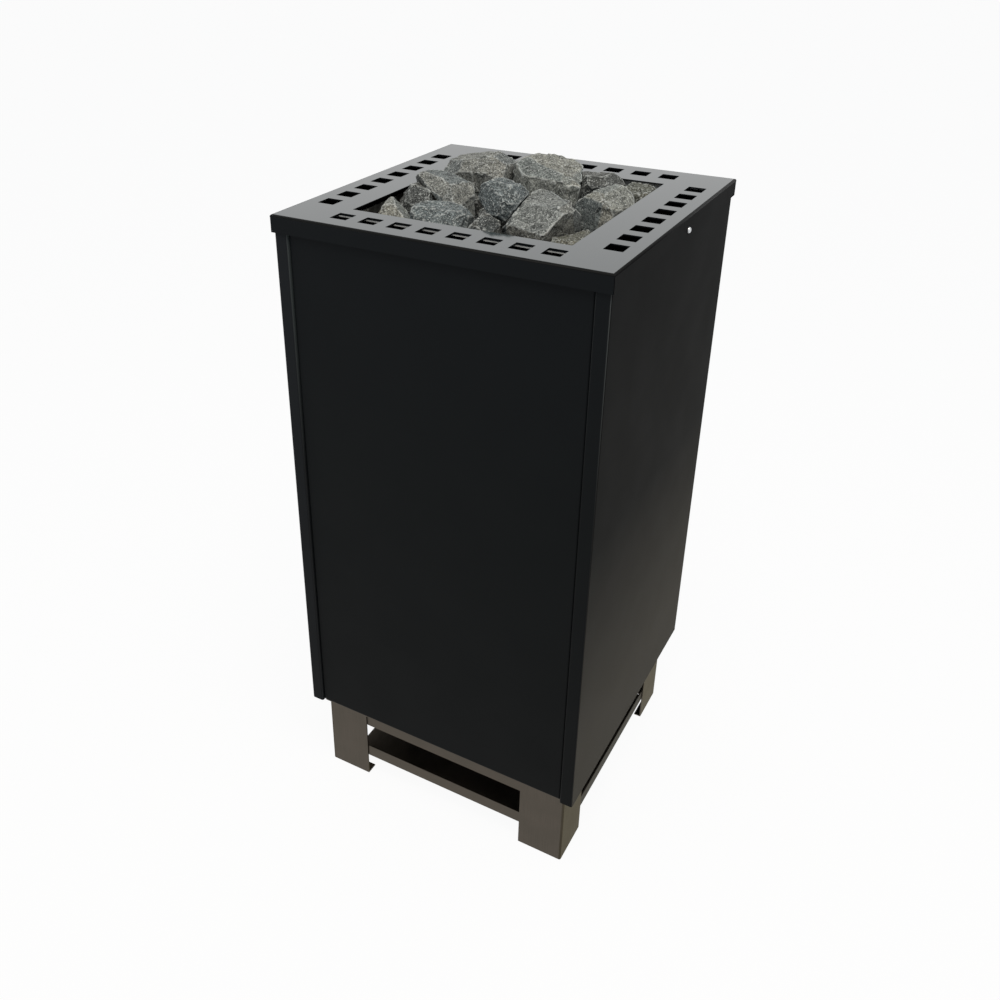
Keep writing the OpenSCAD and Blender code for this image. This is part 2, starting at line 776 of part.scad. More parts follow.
module terminal_block() {
  color("#e8e4d8") difference() {
    block(
      [-block_l / 2, open_y + leg_y - block_w / 2, deck_z],
      [block_l / 2, open_y + leg_y + block_w / 2, deck_z + block_h]
    );
    for (i = [0 : pole_count - 1]) pole_place(i)
      translate([0, 0, block_h - clamp_sink])
        cylinder(d = clamp_d + 2 * fit, h = clamp_sink + over);
  }
}

module terminal_clamps() {
  color("#c2a14d") for (i = [0 : pole_count - 1]) pole_place(i)
    translate([0, 0, block_h - clamp_sink]) difference() {
      cylinder(d = clamp_d, h = clamp_h);
      translate([0, 0, clamp_h - clamp_sink / 2])
        cube([clamp_slot_w, clamp_d + over, clamp_sink], center = true);
    }
}

// Wires from the rear pins to the terminal block and the link across the front pins
module element_links() {
  wire_top = element_foot - pin_l;
  wire_low = deck_z + block_h - clamp_sink + clamp_h;
  link_z = wire_top + pin_l / 3;
  color("#c8b98a") {
    for (i = [-1 : 1])
      translate([i * element_pitch, open_y + leg_y, wire_low])
        cylinder(d = wire_d, h = wire_top - wire_low);
    difference() {
      block(
        [-element_pitch - link_w / 2, open_y - leg_y - link_w / 2, link_z],
        [element_pitch + link_w / 2, open_y - leg_y + link_w / 2, link_z + link_t]
      );
      for (i = [-1 : 1])
        translate([i * element_pitch, open_y - leg_y, link_z - over])
          cylinder(d = pin_d + 2 * fit, h = link_t + 2 * over);
    }
    for (i = [-1 : 1]) translate([i * element_pitch, open_y - leg_y, link_z + link_t])
      hex_nut(link_nut_d, link_nut_h, pin_d + 2 * fit);
  }
}

// Cable gland in the cover, its mouth pointing down
module at_gland(z) {
  translate([gland_x, open_y, z]) children();
}

module cable_gland() {
  color("#4a4a4a") at_gland(deck_z - sheet) difference() {
    union() {
      translate([0, 0, -gland_body_h]) cylinder(d = gland_af, h = gland_body_h, $fn = 6);
      translate([0, 0, -fit]) cylinder(d = gland_d, h = gland_thread_h);
      translate([0, 0, -gland_body_h - gland_skirt_h])
        cylinder(d = gland_d, h = gland_skirt_h + fit);
    }
    translate([0, 0, -gland_body_h - gland_skirt_h - over])
      cylinder(d = cable_hole_d, h = gland_body_h + gland_skirt_h + gland_thread_h + 2 * over);
    translate([0, 0, -gland_body_h - gland_skirt_h - over])
      cylinder(d = cable_d + 2 * seal_t + 2 * fit, h = seal_h + over);
  }
}

module gland_nut() {
  color("#4a4a4a") at_gland(deck_z - sheet - gland_body_h - fit - gland_nut_h) difference() {
    cylinder(d = gland_af, h = gland_nut_h, $fn = 6);
    translate([0, 0, -over]) cylinder(d = cable_hole_d, h = gland_nut_h + 2 * over);
    translate([0, 0, gland_nut_h - gland_skirt_h - fit])
      cylinder(d = gland_d + 2 * fit, h = gland_skirt_h + fit + over);
  }
}

module gland_seal() {
  color("#262626") at_gland(deck_z - sheet - gland_body_h - gland_skirt_h) difference() {
    cylinder(d = cable_d + 2 * seal_t, h = seal_h - fit);
    translate([0, 0, -over]) cylinder(d = cable_d, h = seal_h + 2 * over);
  }
}

module gland_lock_nut() {
  color("#4a4a4a") at_gland(deck_z)
    hex_nut(gland_af + sheet, gland_body_h / 2, gland_d + 2 * fit);
}

module earth_stud() {
  face = box_w / 2;
  color("#c2a14d") translate([-face, open_y, stud_z]) rotate([0, 90, 0]) {
    translate([0, 0, -stud_l / 2]) cylinder(d = stud_d, h = stud_l);
    translate([0, 0, -stud_nut_h]) hex_nut(stud_nut_d, stud_nut_h, stud_d + 2 * fit);
    translate([0, 0, sheet]) hex_nut(stud_nut_d, stud_nut_h, stud_d + 2 * fit);
  }
}

// Planes of a split stone: each is a direction and its distance from the stone's middle
function stone_planes(half, form) = [
  for (i = [0 : len(directions) - 1])
    let (
      d = directions[i],
      kind = positive(d) * [1, 1, 1],
      v = unit([d.x / half.x, d.y / half.y, d.z / half.z]),
      reach = positive(v) * times(half, positive(d)),
      keep = keep_shares[kind - 1],
      share = keep[0] + (keep[1] - keep[0]) * scatter(form, i),
      lean = [for (j = [1 : 3]) (scatter(form, i + j * tilt_count) - 1 / 2) * tilt_share]
    )
    [kind > 1 ? v : unit(v + lean - v * (lean * v)), share * reach]
];

// Everything behind a plane that lies square to a direction, at a distance from 0
module half_space(n, d) {
  translate(n * d) rotate([0, acos(n.z), atan2(n.y, n.x)])
    translate([-stone_cut, -stone_cut, -2 * stone_cut]) cube(2 * stone_cut);
}

module rock(planes) {
  intersection_for (p = planes) half_space(p[0], p[1]);
}

// The eight corners of a box, and for each the three points that its split corner leaves
corners = [for (z = [-1, 1], y = [-1, 1], x = [-1, 1]) [x, y, z]];
function split_points(half, form) = [
  for (i = [0 : 7], a = [0 : 2])
    let (
      c = corners[i],
      cut = split_shares[0] + (split_shares[1] - split_shares[0]) * scatter(form, 3 * i + a)
    )
    [for (j = [0 : 2]) c[j] * half[j] * (j == a ? 1 - 2 * cut : 1)]
];
// Number of the corner that lies at given signs on three axes, the first of them axis a
function corner_at(a, signs) =
  let (place = [for (j = [0 : 2]) signs[(j - a + 3) % 3]])
  (place.x > 0 ? 1 : 0) + (place.y > 0 ? 2 : 0) + (place.z > 0 ? 4 : 0);
function turned(list, flip) = flip ? [for (i = [len(list) - 1 : -1 : 0]) list[i]] : list;
// The outline of one side of the box, two points at each of its four corners
function side_face(a, s) =
  let (
    b = (a + 1) % 3,
    c = (a + 2) % 3,
    ring = [[-1, -1, c, b], [1, -1, b, c], [1, 1, c, b], [-1, 1, b, c]]
  )
  turned(
    [for (k = ring, m = [2, 3]) 3 * corner_at(a, [s, k[0], k[1]]) + k[m]],
    s > 0
  );
function corner_face(i) =
  turned([3 * i, 3 * i + 1, 3 * i + 2], corners[i].x * corners[i].y * corners[i].z > 0);

// A stone of the bed: a box with eight unevenly split corners
module split_block(half, form) {
  polyhedron(
    points = split_points(half, form),
    faces = concat(
      [for (a = [0 : 2], s = [-1, 1]) side_face(a, s)],
      [for (i = [0 : 7]) corner_face(i)]
    )
  );
}

// Stones of the bed, layer by layer, each filling its own cell
module bed(first_layer, last_layer) {
  columns = len(bed_columns);
  color("#7d7f7b")
    for (layer = [first_layer : last_layer], row = [0 : bed_rows - 1], k = [0 : columns - 1]) {
      edges = bed_columns[k];
      half = [(edges[1] - edges[0]) / 2, (row_d - stone_gap) / 2, (layer_h - stone_gap) / 2];
      translate([
        (edges[0] + edges[1]) / 2,
        open_y - basket_h + wall_gap + (row + 1 / 2) * row_d,
        bed_low + (layer + 1 / 2) * layer_h
      ]) split_block(half, (layer * bed_rows + row) * columns + k + 1);
    }
}

function stone_at(i) = [
  stone_shares[i][0].x * open_x,
  open_y + stone_shares[i][0].y * open_h,
  bed_top + stone_shares[i][0].z * heap_h
];
function stone_radius(i) = stone_shares[i][1] * [1, 1, 1] * stone_l / 6;

// A stone of the heap, cut clear of its neighbours, of the opening's edge and of the bed
module heap_stone(i) {
  row = stone_shares[i];
  at = stone_at(i);
  half = row[1] * stone_l / 2;
  extra = [for (c = row[4]) [unit(c[0]), c[1] * positive(unit(c[0])) * half]];
  neighbours = [
    for (j = [0 : len(stone_shares) - 1])
      let (way = stone_at(j) - at, both = stone_radius(i) + stone_radius(j))
        if (j != i && norm(way) < 2 * both)
          [unit(way), norm(way) * stone_radius(i) / both - stone_gap / 2]
  ];
  walls = [
    [[1, 0, 0], open_x - opening_gap - at.x],
    [[-1, 0, 0], open_x - opening_gap + at.x],
    [[0, 1, 0], open_rear - opening_gap - at.y],
    [[0, -1, 0], at.y - open_front - opening_gap],
    [[0, 0, -1], at.z - bed_top - stone_gap]
  ];
  color("#8b8d88") translate(at) intersection() {
    rotate(row[2]) rock(concat(stone_planes(half, row[3]), extra));
    rock(concat(neighbours, walls));
  }
}

foot(-1, -1);  // foot_front_left
foot(1, -1);  // foot_front_right
foot(-1, 1);  // foot_rear_left
foot(1, 1);  // foot_rear_right
floor_tray();
end_rail();  // upper_rail_front
mirror([0, 1, 0]) end_rail();  // upper_rail_rear
mirror([1, 0, 0]) side_rail();  // upper_rail_left
side_rail();  // upper_rail_right
beam(-1);  // beam_front
beam(1);  // beam_rear
mirror([1, 0, 0]) side_panel();  // side_panel_left
side_panel();  // side_panel_right
end_panel();  // front_panel
mirror([0, 1, 0]) end_panel();  // rear_panel
collar();
collar_screws();
m4_screws();
crossbar(-1);  // crossbar_front
crossbar(1);  // crossbar_rear
liner_end(-1);  // liner_front
liner_end(1);  // liner_rear
liner_side(-1);  // liner_left
liner_side(1);  // liner_right
stone_basket();
stone_grate();
element(-1);  // element_left
element(0);  // element_centre
element(1);  // element_right
element_bushes();
element_nuts();
element_plate();
terminal_box();
terminal_cover();
terminal_block();
terminal_clamps();
cable_gland();
gland_nut();
gland_seal();
gland_lock_nut();
earth_stud();
element_links();
bed(0, floor(bed_layers / 2) - 1);  // stones_lower
bed(floor(bed_layers / 2), bed_layers - 1);  // stones_upper
heap_stone(0);  // stone_01
heap_stone(1);  // stone_02
heap_stone(2);  // stone_03
heap_stone(3);  // stone_04
heap_stone(4);  // stone_05
heap_stone(5);  // stone_06
heap_stone(6);  // stone_07
heap_stone(7);  // stone_08
heap_stone(8);  // stone_09
heap_stone(9);  // stone_10
heap_stone(10);  // stone_11
heap_stone(11);  // stone_12
heap_stone(12);  // stone_13
for (i = [shown_stones : len(stone_shares) - 1]) heap_stone(i);  // stones_filler
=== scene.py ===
"""Looks of the floor-standing sauna heater, in metres, +Z up, the front towards -Y."""
import math
import random

import bmesh
import bpy
from mathutils import Matrix, Vector, noise


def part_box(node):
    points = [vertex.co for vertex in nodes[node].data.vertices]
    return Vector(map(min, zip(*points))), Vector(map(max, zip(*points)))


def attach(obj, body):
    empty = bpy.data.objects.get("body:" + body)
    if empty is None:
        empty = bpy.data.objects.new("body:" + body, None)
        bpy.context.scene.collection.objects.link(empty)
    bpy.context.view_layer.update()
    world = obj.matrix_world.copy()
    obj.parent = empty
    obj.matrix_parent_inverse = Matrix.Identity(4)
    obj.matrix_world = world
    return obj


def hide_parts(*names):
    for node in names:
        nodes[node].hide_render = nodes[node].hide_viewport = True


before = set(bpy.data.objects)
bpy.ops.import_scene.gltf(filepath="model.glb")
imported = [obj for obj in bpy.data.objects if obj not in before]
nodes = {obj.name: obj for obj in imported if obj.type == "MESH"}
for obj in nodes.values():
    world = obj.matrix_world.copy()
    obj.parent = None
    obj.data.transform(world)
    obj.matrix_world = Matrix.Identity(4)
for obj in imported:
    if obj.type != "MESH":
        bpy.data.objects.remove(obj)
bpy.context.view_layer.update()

MM = 0.001
# Points nearer than this are one point
WELD = 0.01 * MM

# Camera: where it stands, where it looks and its lens, as fitted to the corners of the casing
CAMERA_AT = Vector((0.50391, -1.03896, 1.12441))
CAMERA_AZIMUTH = math.radians(30.0557)
CAMERA_ELEVATION = math.radians(27.8211)
CAMERA_ROLL = math.radians(-0.2256)
CAMERA_LENS = 36.3132
CAMERA_SENSOR = 36
CAMERA_SHIFT = (0.05614, -0.07541)

# Studio: a plain pale floor under an even room light and one large soft box
FLOOR_RADIUS = 30
FLOOR_SIDES = 96
FLOOR_SHOWN = 0.94
ROOM_LIGHT = 0.5
ROOM_TINT = "#F2F7FF"
KEY_AT = Vector((0.5, -0.75, 2.6))
KEY_AIM = Vector((0, 0, 0.8))
KEY_SIZE = 1.4
KEY_POWER = 42
KEY_TINT = "#FFF8EE"

# Powder coat: size and depth of its orange peel, size of the marks that hands leave, and how much
# these change the sheen
PEEL_SIZE = 1.5 * MM
PEEL_DEPTH = 0.02 * MM
HAND_SIZE = 70 * MM
HAND_SHEEN = 0.03

# Ground sheet: its streaks, the clouds over them and their share in the tone, and how far the
# roughness goes either way. Real lines are 0.05 mm apart; these are drawn as coarse as they need
# to show.
STREAK_WIDTH = 0.5 * MM
STREAK_LENGTH = 40 * MM
STREAK_DEPTH = 0.02 * MM
CLOUD_SIZE = 45 * MM
CLOUD_SHARE = 0.35
STREAK_SHEEN = 0.08

# Hot-dipped sheet: size of its crystals, and the roughness of the smoothest and the roughest
SPANGLE_SIZE = 6 * MM
SPANGLE_SHEEN = (0.34, 0.46)

# Split stone: its crystals, the weathered patches and their share in the tone, the pale laths, and
# the pits between them
CRYSTAL_SIZE = 1.3 * MM
PATCH_SIZE = 11 * MM
PATCH_SHARE = 0.7
LATH_SIZE = 1.4 * MM
PIT_SIZE = 2.2 * MM
PIT_DEPTH = 0.6 * MM
PYROXENE = "#26282A"
BRUISED_AND_HIGHLIT = "#C2C6C3"

# How square to an axis a face of sheet metal points to count as flat
SQUARE = 0.999
# How far out from a strip's inner edge the faces of its folded edge lie
HEM_REACH = 0.8 * MM
HEM_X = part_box("side_panel_right")[0][0] + HEM_REACH
# How far from 45 degrees a bend's facets still count as its edge, which takes a painted highlight
EDGE_LEAN = 0.35

# Stones: how finely they are made, how flat faces join, and how much their edges are smoothed
STONE_CELL = 1.3 * MM
FLAT_ANGLE = math.radians(1)
WEAR = 0.5
WEAR_ROUNDS = 2
# Nearest and furthest out that a chip's flat lies, as a share of the stone's reach
CHIP_REACH = (0.93, 0.985)
# Size and slope of the breaks, size and height of the grain, and how deep both lie at rest
BREAKS = ((21 * MM, 0.22), (8 * MM, 0.26))
ROUGH = ((6 * MM, 0.3 * MM), (2.4 * MM, 0.16 * MM))
STONE_INSET = 0.9 * MM
# How far apart in the noise neighbouring breaks take their tilt, and how fast a face's tone changes
# with the way that it points
TILT_STEP = 3.7
TONE_STEP = 1.6
# Each stone has its own place in the noise, up to this far out
NOISE_SPAN = 9
# Start of the noise behind the breaks, fixed so that each run makes the same stones
STONE_NOISE = 3

# Half section of a collar screw: millimetres below the dome's top, and the radius there
SCREW_SECTION = (
    (0, 0), (0.12, 1.0), (0.5, 2.1), (1.1, 2.9), (1.9, 3.35), (2.7, 3.5), (3.2, 3.4), (3.2, 2.5),
    (15.2, 2.5), (15.2, 0),
)
SCREW_STEPS = 32
SCREW_SHARP = math.radians(40)


def colour(code):
    """A hex sRGB colour as linear red, green, blue and alpha."""
    parts = [int(code[i : i + 2], 16) / 255 for i in (1, 3, 5)]
    linear = [p / 12.92 if p <= 0.04045 else ((p + 0.055) / 1.055) ** 2.4 for p in parts]
    return (*linear, 1.0)


def add(tree, kind, inputs=None, stops=(), **settings):
    """Adds a node with its settings. An input is a value or the socket that feeds it, and stops
    are a colour ramp's places and hex colours."""
    node = tree.nodes.new(kind)
    for name, value in settings.items():
        setattr(node, name, value)
    for name, value in (inputs or {}).items():
        if isinstance(value, bpy.types.NodeSocket):
            tree.links.new(value, node.inputs[name])
        else:
            node.inputs[name].default_value = value
    while stops and len(node.color_ramp.elements) < len(stops):
        node.color_ramp.elements.new(1)
    for index, (place, code) in enumerate(stops):
        node.color_ramp.elements[index].position = place
        node.color_ramp.elements[index].color = colour(code)
    return node


def cleared_tree(owner):
    """The node tree of a material or world, emptied."""
    owner.use_nodes = True
    owner.node_tree.nodes.clear()
    return owner.node_tree


def new_material(name):
    """A material with an empty tree; returned with the tree and its Object coordinates."""
    material = bpy.data.materials.new(name)
    tree = cleared_tree(material)
    return material, tree, add(tree, "ShaderNodeTexCoord").outputs["Object"]


def finish_material(tree, inputs):
    """Ends a tree in one Principled shader with these inputs."""
    shader = add(tree, "ShaderNodeBsdfPrincipled", inputs)
    add(tree, "ShaderNodeOutputMaterial", {"Surface": shader.outputs["BSDF"]})


def shown_rays(tree):
    """1 for the rays that show the background: from the camera, mirrored or through glass."""
    path = add(tree, "ShaderNodeLightPath").outputs
    straight = add(
        tree,
        "ShaderNodeMath",
        {0: path["Is Camera Ray"], 1: path["Is Glossy Ray"]},
        operation="MAXIMUM",
    )
    return add(
        tree,
        "ShaderNodeMath",
        {0: straight.outputs[0], 1: path["Is Transmission Ray"]},
        operation="MAXIMUM",
    ).outputs[0]


def mesh_of(name, shape):
    """The mesh of a bmesh shape, which is freed."""
    mesh = bpy.data.meshes.new(name)
    shape.to_mesh(mesh)
    shape.free()
    return mesh


def make_camera():
    """The camera at the photograph's place and angle."""
    camera = bpy.data.cameras.new("camera")
    camera.sensor_width = CAMERA_SENSOR
    camera.lens = CAMERA_LENS
    camera.shift_x, camera.shift_y = CAMERA_SHIFT
    viewer = bpy.data.objects.new("camera", camera)
    viewer.matrix_world = (
        Matrix.Translation(CAMERA_AT)
        @ Matrix.Rotation(CAMERA_AZIMUTH, 4, "Z")
        @ Matrix.Rotation(math.pi / 2 - CAMERA_ELEVATION, 4, "X")
        @ Matrix.Rotation(CAMERA_ROLL, 4, "Z")
    )
    bpy.context.scene.collection.objects.link(viewer)
    bpy.context.scene.camera = viewer
    bpy.context.scene.view_settings.view_transform = "Standard"


def make_room():
    """An even room that shows as plain white and lights at half of that, a little cool."""
    world = bpy.data.worlds.new("studio")
    tree = cleared_tree(world)
    lit = add(tree, "ShaderNodeBackground", {"Color": colour(ROOM_TINT), "Strength": ROOM_LIGHT})
    seen = add(tree, "ShaderNodeBackground", {"Color": colour("#FFFFFF"), "Strength": 1.0})
    room = add(
        tree,
        "ShaderNodeMixShader",
        {"Fac": shown_rays(tree), 1: lit.outputs["Background"], 2: seen.outputs["Background"]},
    )
    add(tree, "ShaderNodeOutputWorld", {"Surface": room.outputs["Shader"]})
    bpy.context.scene.world = world


def make_floor():
    """A pale floor that shows near white and keeps the heater's shadow."""
    shape = bmesh.new()
    bmesh.ops.create_circle(shape, cap_ends=True, segments=FLOOR_SIDES, radius=FLOOR_RADIUS)
    mesh = mesh_of("floor", shape)
    floor = bpy.data.objects.new("floor", mesh)
    bpy.context.scene.collection.objects.link(floor)
    material = bpy.data.materials.new("pale_studio_floor")
    tree = cleared_tree(material)
    paint = add(tree, "ShaderNodeBsdfDiffuse", {"Color": colour("#EDEDEB")})
    white = add(tree, "ShaderNodeEmission", {"Color": colour("#FFFFFF"), "Strength": 1.0})
    share = add(tree, "ShaderNodeMath", {0: shown_rays(tree), 1: FLOOR_SHOWN}, operation="MULTIPLY")
    mixed = add(
        tree,
        "ShaderNodeMixShader",
        {"Fac": share.outputs[0], 1: paint.outputs["BSDF"], 2: white.outputs["Emission"]},
    )
    add(tree, "ShaderNodeOutputMaterial", {"Surface": mixed.outputs["Shader"]})
    mesh.materials.append(material)


def make_key():
    """One large soft box above the heater, a little to the front and right."""
    light = bpy.data.lights.new("soft_box", "AREA")
    light.size = KEY_SIZE
    light.energy = KEY_POWER
    light.color = colour(KEY_TINT)[:3]
    lamp = bpy.data.objects.new("soft_box", light)
    lamp.location = KEY_AT
    lamp.rotation_euler = (KEY_AT - KEY_AIM).to_track_quat("Z", "Y").to_euler()
    lamp.visible_camera = False
    bpy.context.scene.collection.objects.link(lamp)


def powder_coat(name, tones, rough, level):
    """Polyester powder sprayed on sheet steel and baked: satin black with a faint orange peel,
    a little changed in sheen by hands, and in tone with the height in metres, which paints light
    and shade onto it."""
    material, tree, place = new_material(name)
    peel = add(
        tree, "ShaderNodeTexNoise", {"Vector": place, "Scale": 1 / PEEL_SIZE, "Detail": 2.0}
    ).outputs["Fac"]
    hands = add(
        tree, "ShaderNodeTexNoise", {"Vector": place, "Scale": 1 / HAND_SIZE, "Detail": 4.0}
    ).outputs["Fac"]
    shine = add(
        tree,
        "ShaderNodeMapRange",
        {"Value": hands, "From Min": 0.35, "From Max": 0.65,
         "To Min": (1 - HAND_SHEEN) * rough, "To Max": (1 + HAND_SHEEN) * rough},
    )
    bump = add(
        tree, "ShaderNodeBump", {"Height": peel, "Strength": 1.0, "Distance": PEEL_DEPTH * rough}
    )
    height = add(tree, "ShaderNodeSeparateXYZ", {"Vector": place}).outputs["Z"]
    tone = add(tree, "ShaderNodeValToRGB", {"Fac": height}, stops=tones)
    finish_material(
        tree,
        {"Base Color": tone.outputs["Color"], "Roughness": shine.outputs[0],
         "Specular IOR Level": level, "Normal": bump.outputs["Normal"]},
    )
    return material


def brushed_metal(name, dark, light, roughness, grain, grazing):
    """Sheet metal ground with a belt: fine streaks along one axis, the grain, that spread the
    highlights. The last colour tints what it mirrors at a low angle."""
    material, tree, place = new_material(name)
    scale = [1 / STREAK_WIDTH] * 3
    scale[grain] = 1 / STREAK_LENGTH
    along = add(tree, "ShaderNodeMapping", {"Vector": place, "Scale": scale})
    lines = add(
        tree, "ShaderNodeTexNoise", {"Vector": along.outputs[0], "Scale": 1.0, "Detail": 3.0}
    ).outputs["Fac"]
    cloud = add(
        tree, "ShaderNodeTexNoise", {"Vector": place, "Scale": 1 / CLOUD_SIZE, "Detail": 3.0}
    ).outputs["Fac"]
    both = add(
        tree, "ShaderNodeMix", {0: CLOUD_SHARE, 2: lines, 3: cloud}, data_type="FLOAT"
    ).outputs[0]
    tone = add(tree, "ShaderNodeValToRGB", {"Fac": both}, stops=[(0.32, dark), (0.68, light)])
    shine = add(
        tree,
        "ShaderNodeMapRange",
        {"Value": both, "From Min": 0.3, "From Max": 0.7,
         "To Min": roughness - STREAK_SHEEN, "To Max": roughness + STREAK_SHEEN},
    )
    bump = add(
        tree, "ShaderNodeBump", {"Height": lines, "Strength": 1.0, "Distance": STREAK_DEPTH}
    )
    finish_material(
        tree,
        {"Base Color": tone.outputs["Color"], "Metallic": 1.0, "Roughness": shine.outputs[0],
         "Normal": bump.outputs["Normal"], "Specular Tint": colour(grazing)},
    )
    return material


def spangled_sheet(name, dark, light, bare=1.0):
    """Hot-dipped aluminised steel: crystals that catch the light a little differently. Less bare
    metal means more of the chalky oxide that scatters light evenly."""
    material, tree, place = new_material(name)
    crystals = add(tree, "ShaderNodeTexVoronoi", {"Vector": place, "Scale": 1 / SPANGLE_SIZE})
    each = add(
        tree, "ShaderNodeSeparateXYZ", {"Vector": crystals.outputs["Color"]}
    ).outputs["X"]
    tone = add(tree, "ShaderNodeValToRGB", {"Fac": each}, stops=[(0, dark), (1, light)])
    smoothest, roughest = SPANGLE_SHEEN
    shine = add(
        tree, "ShaderNodeMapRange", {"Value": each, "To Min": smoothest, "To Max": roughest}
    )
    finish_material(
        tree,
        {"Base Color": tone.outputs["Color"], "Metallic": bare, "Roughness": shine.outputs[0]},
    )
    return material


def plain_metal(name, dark, light, low, high, patch, depth):
    """Solid metal parts: tones, and a roughness from low to high, that drift over patches of a
    few millimetres, as handling and heat leave them."""
    material, tree, place = new_material(name)
    drift = add(
        tree,
        "ShaderNodeTexNoise",
        {"Vector": place, "Scale": 1 / (patch * MM), "Detail": 5.0, "Roughness": 0.6},
    ).outputs["Fac"]
    tone = add(tree, "ShaderNodeValToRGB", {"Fac": drift}, stops=[(0.3, dark), (0.7, light)])
    shine = add(
        tree,
        "ShaderNodeMapRange",
        {"Value": drift, "From Min": 0.3, "From Max": 0.7, "To Min": low, "To Max": high},
    )
    bump = add(
        tree, "ShaderNodeBump", {"Height": drift, "Strength": 1.0, "Distance": depth * MM}
    )
    finish_material(
        tree,
        {"Base Color": tone.outputs["Color"], "Metallic": 1.0, "Roughness": shine.outputs[0],
         "Normal": bump.outputs["Normal"]},
    )
    return material


def moulded(name, dark, light, roughness, grain, depth):
    """Moulded or pressed pieces: one colour with a fine grain taken from the mould."""
    material, tree, place = new_material(name)
    pattern = add(
        tree, "ShaderNodeTexNoise", {"Vector": place, "Scale": 1 / (grain * MM), "Detail": 3.0}
    ).outputs["Fac"]
    tone = add(tree, "ShaderNodeValToRGB", {"Fac": pattern}, stops=[(0.3, dark), (0.7, light)])
    bump = add(
        tree, "ShaderNodeBump", {"Height": pattern, "Strength": 1.0, "Distance": depth * MM}
    )
    finish_material(
        tree,
        {"Base Color": tone.outputs["Color"], "Roughness": roughness,
         "Normal": bump.outputs["Normal"]},
    )
    return material


def split_diabase(name, dark, mid, light, cool, warm):
    """Split olivine diabase: a dull granular break with small crystals, pale feldspar laths and
    dark pyroxene among them, fresh faces cool and old ones warm, and edges bruised pale, which
    also serves as a painted highlight along them."""
    material, tree, place = new_material(name)
    crystals = add(tree, "ShaderNodeTexVoronoi", {"Vector": place, "Scale": 1 / CRYSTAL_SIZE})
    each = add(
        tree, "ShaderNodeSeparateXYZ", {"Vector": crystals.outputs["Color"]}
    ).outputs["X"]
    patches = add(
        tree,
        "ShaderNodeTexNoise",
        {"Vector": place, "Scale": 1 / PATCH_SIZE, "Detail": 7.0, "Roughness": 0.72},
    ).outputs["Fac"]
    tone = add(
        tree, "ShaderNodeMix", {0: PATCH_SHARE, 2: each, 3: patches}, data_type="FLOAT"
    ).outputs[0]
    stone = add(
        tree,
        "ShaderNodeValToRGB",
        {"Fac": tone},
        stops=[(0.3, dark), (0.5, mid), (0.72, light)],
    )
    facet = add(tree, "ShaderNodeAttribute", attribute_name="facet").outputs["Fac"]
    age = add(tree, "ShaderNodeValToRGB", {"Fac": facet}, stops=[(0.3, cool), (0.7, warm)])
    tinted = add(
        tree,
        "ShaderNodeMix",
        {0: 1.0, 6: stone.outputs["Color"], 7: age.outputs["Color"]},
        data_type="RGBA",
        blend_type="MULTIPLY",
    )
    laths = add(
        tree,
        "ShaderNodeTexNoise",
        {"Vector": place, "Scale": 1 / LATH_SIZE, "Detail": 2.0, "Roughness": 0.5},
    ).outputs["Fac"]
    pyroxene = add(
        tree,
        "ShaderNodeMapRange",
        {"Value": laths, "From Min": 0.41, "From Max": 0.31, "To Min": 0.0, "To Max": 0.7},
    )
    speckled = add(
        tree,
        "ShaderNodeMix",
        {0: pyroxene.outputs[0], 6: tinted.outputs[2], 7: colour(PYROXENE)},
        data_type="RGBA",
    )
    feldspar = add(
        tree,
        "ShaderNodeMapRange",
        {"Value": laths, "From Min": 0.6, "From Max": 0.68, "To Min": 0.0, "To Max": 0.75},
    )
    ridge = add(tree, "ShaderNodeAttribute", attribute_name="ridge").outputs["Fac"]
    bruise_and_highlight = add(
        tree,
        "ShaderNodeMapRange",
        {"Value": ridge, "From Min": 0.06, "From Max": 0.28, "To Min": 0.0, "To Max": 0.52},
    )
    pale = add(
        tree,
        "ShaderNodeMath",
        {0: bruise_and_highlight.outputs[0], 1: feldspar.outputs[0]},
        operation="MAXIMUM",
    )
    body = add(
        tree,
        "ShaderNodeMix",
        {0: pale.outputs[0], 6: speckled.outputs[2], 7: colour(BRUISED_AND_HIGHLIT)},
        data_type="RGBA",
    )
    pits = add(
        tree,
        "ShaderNodeTexNoise",
        {"Vector": place, "Scale": 1 / PIT_SIZE, "Detail": 5.0, "Roughness": 0.68},
    ).outputs["Fac"]
    bump = add(tree, "ShaderNodeBump", {"Height": pits, "Strength": 1.0, "Distance": PIT_DEPTH})
    finish_material(
        tree,
        {"Base Color": body.outputs[2], "Roughness": 0.8, "Specular IOR Level": 0.35,
         "Normal": bump.outputs["Normal"]},
    )
    return material


def finish_nodes(material, *names):
    """Gives CAD nodes their finish."""
    for name in names:
        mesh = nodes[name].data
        mesh.materials.clear()
        mesh.materials.append(material)


def merged_copy(node):
    """A CAD node's shape, with the points that its faces share merged."""
    shape = bmesh.new()
    shape.from_mesh(nodes[node].data)
    bmesh.ops.remove_doubles(shape, verts=shape.verts, dist=WELD)
    return shape


def stand_in(name, mesh, body, node):
    """Puts a mesh in the place of a CAD node."""
    piece = bpy.data.objects.new(name, mesh)
    bpy.context.scene.collection.objects.link(piece)
    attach(piece, body)
    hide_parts(node)


def finished_copy(name, node, body, finish_of, materials):
    """A copy of a CAD node whose faces take their finish by which way they point."""
    shape = merged_copy(node)
    for face in shape.faces:
        face.material_index = finish_of(face)
    mesh = mesh_of(name, shape)
    for material in materials:
        mesh.materials.append(material)
    stand_in(name, mesh, body, node)


def collar_face(face):
    """1 for the collar's level faces, 2 for the bends, 0 and 3 for the lip's front and sides."""
    if abs(face.normal.z) > SQUARE:
        return 1
    if abs(face.normal.y) > SQUARE:
        return 0
    return 3 if abs(face.normal.x) > SQUARE else 2


